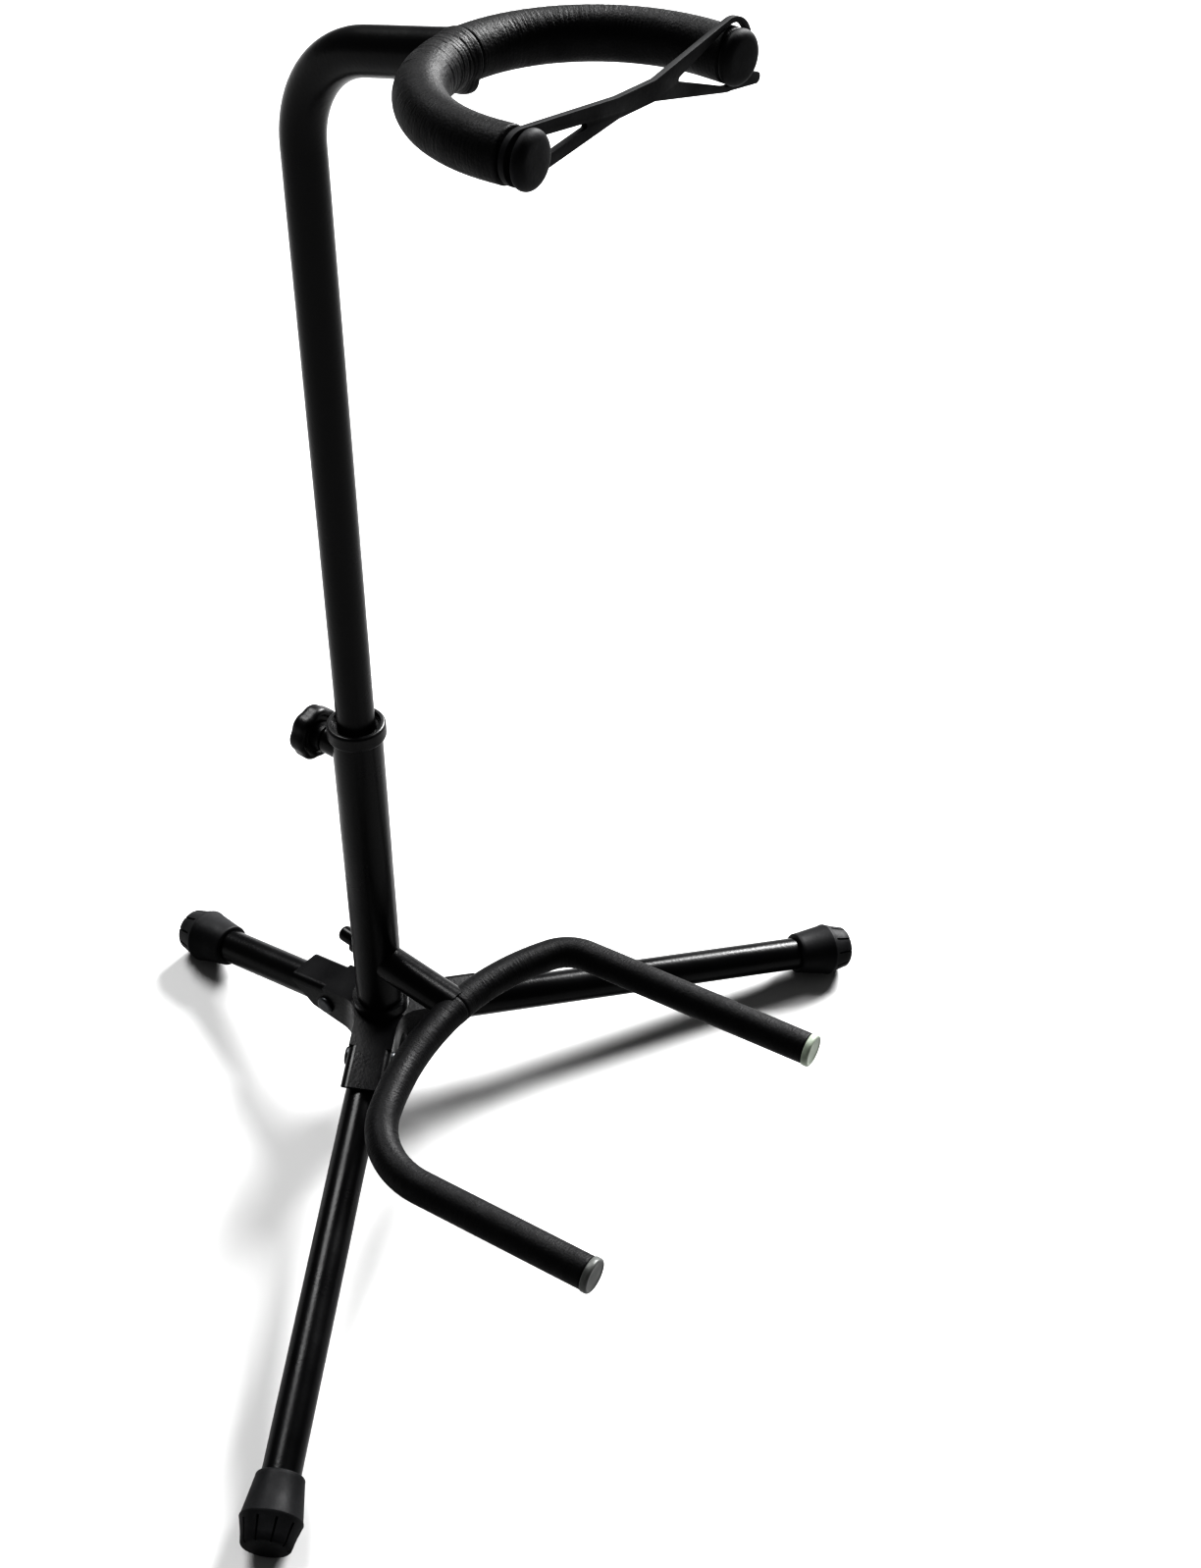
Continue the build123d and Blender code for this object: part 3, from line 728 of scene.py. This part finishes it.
class STAND_OT_strap(bpy.types.Operator):
    """Model the rubber strap across the yoke, with soft edges"""

    bl_idname = "stand.strap"
    bl_label = "Neck strap"

    def execute(self, context):
        clear()
        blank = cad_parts["neck_strap"]
        bpy.context.view_layer.objects.active = blank
        blank.select_set(True)
        bpy.ops.object.duplicate()
        piece = bpy.context.object
        piece.name = "yoke_strap"
        for key in [k for k in piece.keys() if k.startswith("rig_")]:
            del piece[key]
        piece.parent = None
        bpy.ops.object.mode_set(mode="EDIT")
        bpy.ops.mesh.select_all(action="SELECT")
        bpy.ops.mesh.remove_doubles(threshold=1e-6)
        bpy.ops.mesh.dissolve_limited(angle_limit=math.radians(2))
        bpy.ops.object.mode_set(mode="OBJECT")
        apply(
            piece, "BEVEL", width=sizes().strap_edge, segments=3, limit_method="ANGLE",
            angle_limit=math.radians(50))
        smooth(piece, 50)
        material = made_once("black_rubber", rubber, colours().rubber)
        hand_over(piece, "strap", ["neck_strap"], material)
        return {"FINISHED"}


class STAND_OT_knob(bpy.types.Operator):
    """Model the lobed height knob behind the mast"""

    bl_idname = "stand.knob"
    bl_label = "Height knob"

    lobes = 7
    lean = math.radians(5.8)
    length = 14.4 * MM

    def scallop(self, drawn, centre, rim):
        """Draws in the grip between its lobes."""
        per_lobe = 12
        bpy.ops.mesh.select_mode(type="VERT")
        for step in range(per_lobe // 2):
            depth = (0.5 + 0.5 * math.cos(2 * math.pi * step / per_lobe)) ** 1.6
            if depth < 0.02:
                continue
            bpy.ops.mesh.select_all(action="DESELECT")
            mesh = bmesh.from_edit_mesh(drawn.piece.data)
            for vertex in mesh.verts:
                local = vertex.co
                column = math.atan2(local.y, local.x) / (2 * math.pi) * self.lobes * per_lobe
                column = round(column) % per_lobe
                chosen = min(column, per_lobe - column) == step
                vertex.select_set(chosen and math.hypot(local.x, local.y) > rim - 3.2 * MM)
            bmesh.update_edit_mesh(drawn.piece.data)
            factor = 1 - 0.06 * depth
            bpy.ops.transform.resize(
                value=(factor, factor, 1), orient_type="LOCAL", center_override=centre)

    def execute(self, context):
        ahead = Vector((0, math.cos(self.lean), -math.sin(self.lean)))
        rim = sizes().knob / 2
        centre = middle("clamp_knob")
        start = centre - ahead * self.length / 2
        place = looking(start, ahead, (1, 0, 0))
        drawn = Drawn("height_knob", place, 3.2 * MM, self.lobes * 12)
        drawn.rings(
            (0.001 * MM, 6.6 * MM), (0.4 * MM, 7.1 * MM), (3.9 * MM, 7.3 * MM),
            (1.7 * MM, 7.5 * MM), (0.4 * MM, 8.1 * MM), (0.05 * MM, rim - 4.6 * MM),
            (-1.0 * MM, rim - 3.6 * MM), (-0.75 * MM, rim - 2.9 * MM),
            (-0.25 * MM, rim - 2.2 * MM), (0.15 * MM, rim - 1.4 * MM),
            (0.6 * MM, rim - 0.5 * MM), (1.0 * MM, rim), (2.0 * MM, rim), (2.0 * MM, rim),
            (1.9 * MM, rim - 0.1 * MM), (1.0 * MM, rim - 0.7 * MM),
            (0.55 * MM, rim - 1.8 * MM), (0.1 * MM, rim - 2.9 * MM), (-0.4 * MM, rim - 3.8 * MM),
            (-0.6 * MM, rim - 4.7 * MM), (-0.1 * MM, 5.6 * MM), (0.9 * MM, 5.0 * MM),
            (0.3 * MM, 4.2 * MM), (0.05 * MM, 1.5 * MM),
        )
        drawn.pole()
        drawn.cap_both()
        self.scallop(drawn, centre, rim)
        piece = drawn.done()
        material = made_once("black_plastic", plastic, colours().plastic)
        smooth(piece, 45)
        hand_over(piece, "clamp_screw", ["clamp_knob"], material)
        return {"FINISHED"}


class STAND_OT_feet(bpy.types.Operator):
    """Model the three rubber feet, grooved towards their ends"""

    bl_idname = "stand.feet"
    bl_label = "Rubber feet"

    grooves = 10
    columns = 8
    mouth = 21.0 * MM
    toe = 14.0 * MM

    def groove(self, drawn, place):
        """Sinks a slit between the lobes of the tapered end."""
        into = place.inverted() @ drawn.piece.matrix_world
        bpy.ops.mesh.select_mode(type="FACE")
        bpy.ops.mesh.select_all(action="SELECT")
        bpy.ops.mesh.normals_make_consistent(inside=False)
        bpy.ops.mesh.select_all(action="DESELECT")
        mesh = bmesh.from_edit_mesh(drawn.piece.data)
        for face in mesh.faces:
            local = into @ face.calc_center_median()
            column = math.atan2(local.y, local.x) / (2 * math.pi) * self.grooves * self.columns
            tapered = 2.6 * MM < local.z < self.toe - 1.2 * MM
            face.select_set(tapered and math.floor(column) % self.columns == 0)
        bmesh.update_edit_mesh(drawn.piece.data)
        bpy.ops.mesh.inset(thickness=0.12 * MM, depth=-1.1 * MM)

    def execute(self, context):
        material = made_once("black_rubber", rubber, colours().rubber)
        wide = sizes().foot / 2
        for leg in LEG_REACH:
            place = foot_place(leg)
            start = place @ Matrix.Translation((0, 0, -self.mouth))
            drawn = Drawn("rubber_foot_" + leg, start, 9.55 * MM, self.grooves * self.columns)
            drawn.rings(
                (0.001 * MM, 10.9 * MM), (0.25 * MM, 11.5 * MM), (0.6 * MM, 11.85 * MM),
                (1.6 * MM, 12.0 * MM), (17.35 * MM, wide - 0.45 * MM),
                (0.8 * MM, wide - 0.05 * MM), (0.4 * MM, wide), (0.9 * MM, wide - 0.35 * MM),
                (1.5 * MM, wide - 0.75 * MM),
                (3.0 * MM, 13.5 * MM), (3.0 * MM, 12.8 * MM), (3.4 * MM, 12.1 * MM),
                (0.8 * MM, 11.4 * MM), (0.35 * MM, 10.4 * MM), (0.05 * MM, 5.0 * MM),
                (0.001 * MM, 1.0 * MM),
            )
            drawn.pole()
            drawn.cap_both()
            self.groove(drawn, place)
            bpy.ops.mesh.select_mode(type="VERT")
            bpy.ops.mesh.select_all(action="SELECT")
            bpy.ops.mesh.bisect(
                plane_co=(0, 0, 0), plane_no=(0, 0, 1), use_fill=True, clear_inner=True)
            piece = drawn.done()
            smooth(piece, 40)
            hand_over(piece, leg + "_leg", ["foot_" + leg], material)
        return {"FINISHED"}


class STAND_OT_stage(bpy.types.Operator):
    """Lay the pale floor, hang the soft lights and place the camera"""

    bl_idname = "stand.stage"
    bl_label = "Floor, lights and camera"

    camera_place = (-0.5494, -0.4461, 0.9019)
    camera_yaw = -57.2286
    camera_pitch = 42.5382
    camera_roll = -6.6853
    camera_lens = 45.96
    surroundings = 0.17

    def floor(self):
        clear()
        bpy.ops.mesh.primitive_plane_add(size=1.0, location=(0, 0, 0))
        floor = bpy.context.object
        floor.name = "floor"
        bpy.ops.object.mode_set(mode="EDIT")
        bpy.ops.mesh.select_all(action="SELECT")
        bpy.ops.transform.resize(value=(30, 30, 1))
        bpy.ops.object.mode_set(mode="OBJECT")
        made = Finish("pale_floor")
        tint = colours().floor
        made.colour(made.noise(3, 3), ((0.3, shade(tint, 0.99)), (0.7, tint)))
        made.plain(Roughness=0.9, Specular_IOR_Level=0.1)
        floor.data.materials.append(made.material)

    def light(self, name, place, strength, width):
        """A wide, soft and distant light that shines from this side."""
        clear()
        bpy.ops.object.light_add(type="SUN", location=place)
        lamp = bpy.context.object
        lamp.name = name
        lamp.data.energy = strength
        lamp.data.angle = math.radians(width)
        lamp.rotation_euler = Vector(place).to_track_quat("Z", "Y").to_euler()

    def camera(self):
        clear()
        bpy.ops.object.camera_add()
        camera = bpy.context.object
        yaw = math.radians(self.camera_yaw)
        pitch = math.radians(self.camera_pitch)
        roll = math.radians(self.camera_roll)
        level = Vector((-math.sin(yaw), math.cos(yaw), 0))
        ahead = level * math.cos(pitch) - Vector((0, 0, math.sin(pitch)))
        right = ahead.cross(Vector((0, 0, 1))).normalized()
        down = ahead.cross(right)
        across = right * math.cos(roll) + down * math.sin(roll)
        below = down * math.cos(roll) - right * math.sin(roll)
        turn = Matrix((across, -below, -ahead)).transposed().to_4x4()
        camera.matrix_world = Matrix.Translation(self.camera_place) @ turn
        camera.data.sensor_fit = "VERTICAL"
        camera.data.sensor_height = 36.0
        camera.data.lens = self.camera_lens
        camera.data.clip_end = 100
        bpy.context.scene.camera = camera

    def execute(self, context):
        self.floor()
        self.light("window", (1.9, 0.15, 1.20), 9.0, 22)
        self.light("sky", (0.5, 1.5, 2.1), 3.2, 28)
        world = bpy.data.worlds.new("studio")
        context.scene.world = world
        world.use_nodes = True
        back = world.node_tree.nodes["Background"]
        back.inputs["Color"].default_value = (1, 1, 1, 1)
        back.inputs["Strength"].default_value = self.surroundings
        context.scene.view_settings.view_transform = "Standard"
        context.scene.view_settings.look = "Very High Contrast"
        self.camera()
        return {"FINISHED"}


class STAND_PT_panel(bpy.types.Panel):
    """The stand's sizes and colours, and a button for each group of pieces"""

    bl_idname = "STAND_PT_panel"
    bl_label = "Guitar Stand"
    bl_space_type = "VIEW_3D"
    bl_region_type = "UI"
    bl_category = "Guitar Stand"

    def draw(self, context):
        for group in (context.scene.stand_sizes, context.scene.stand_colours):
            for name in group.__annotations__:
                self.layout.prop(group, name)
        for operator in OPERATORS:
            self.layout.operator(operator.bl_idname)


OPERATORS = (
    STAND_OT_metalwork, STAND_OT_yoke_sleeves, STAND_OT_cradle_sleeves, STAND_OT_yoke_caps,
    STAND_OT_cradle_caps, STAND_OT_strap, STAND_OT_knob, STAND_OT_feet, STAND_OT_stage,
)
CLASSES = (StandSizes, StandColours, *OPERATORS, STAND_PT_panel)


def register():
    for made in CLASSES:
        bpy.utils.register_class(made)
    bpy.types.Scene.stand_sizes = bpy.props.PointerProperty(type=StandSizes)
    bpy.types.Scene.stand_colours = bpy.props.PointerProperty(type=StandColours)


def unregister():
    del bpy.types.Scene.stand_colours
    del bpy.types.Scene.stand_sizes
    for made in reversed(CLASSES):
        bpy.utils.unregister_class(made)


def main():
    register()
    bpy.ops.stand.metalwork()
    bpy.ops.stand.yoke_sleeves()
    bpy.ops.stand.cradle_sleeves()
    bpy.ops.stand.yoke_caps()
    bpy.ops.stand.cradle_caps()
    bpy.ops.stand.strap()
    bpy.ops.stand.knob()
    bpy.ops.stand.feet()
    bpy.ops.stand.stage()


if __name__ == "__main__":
    main()
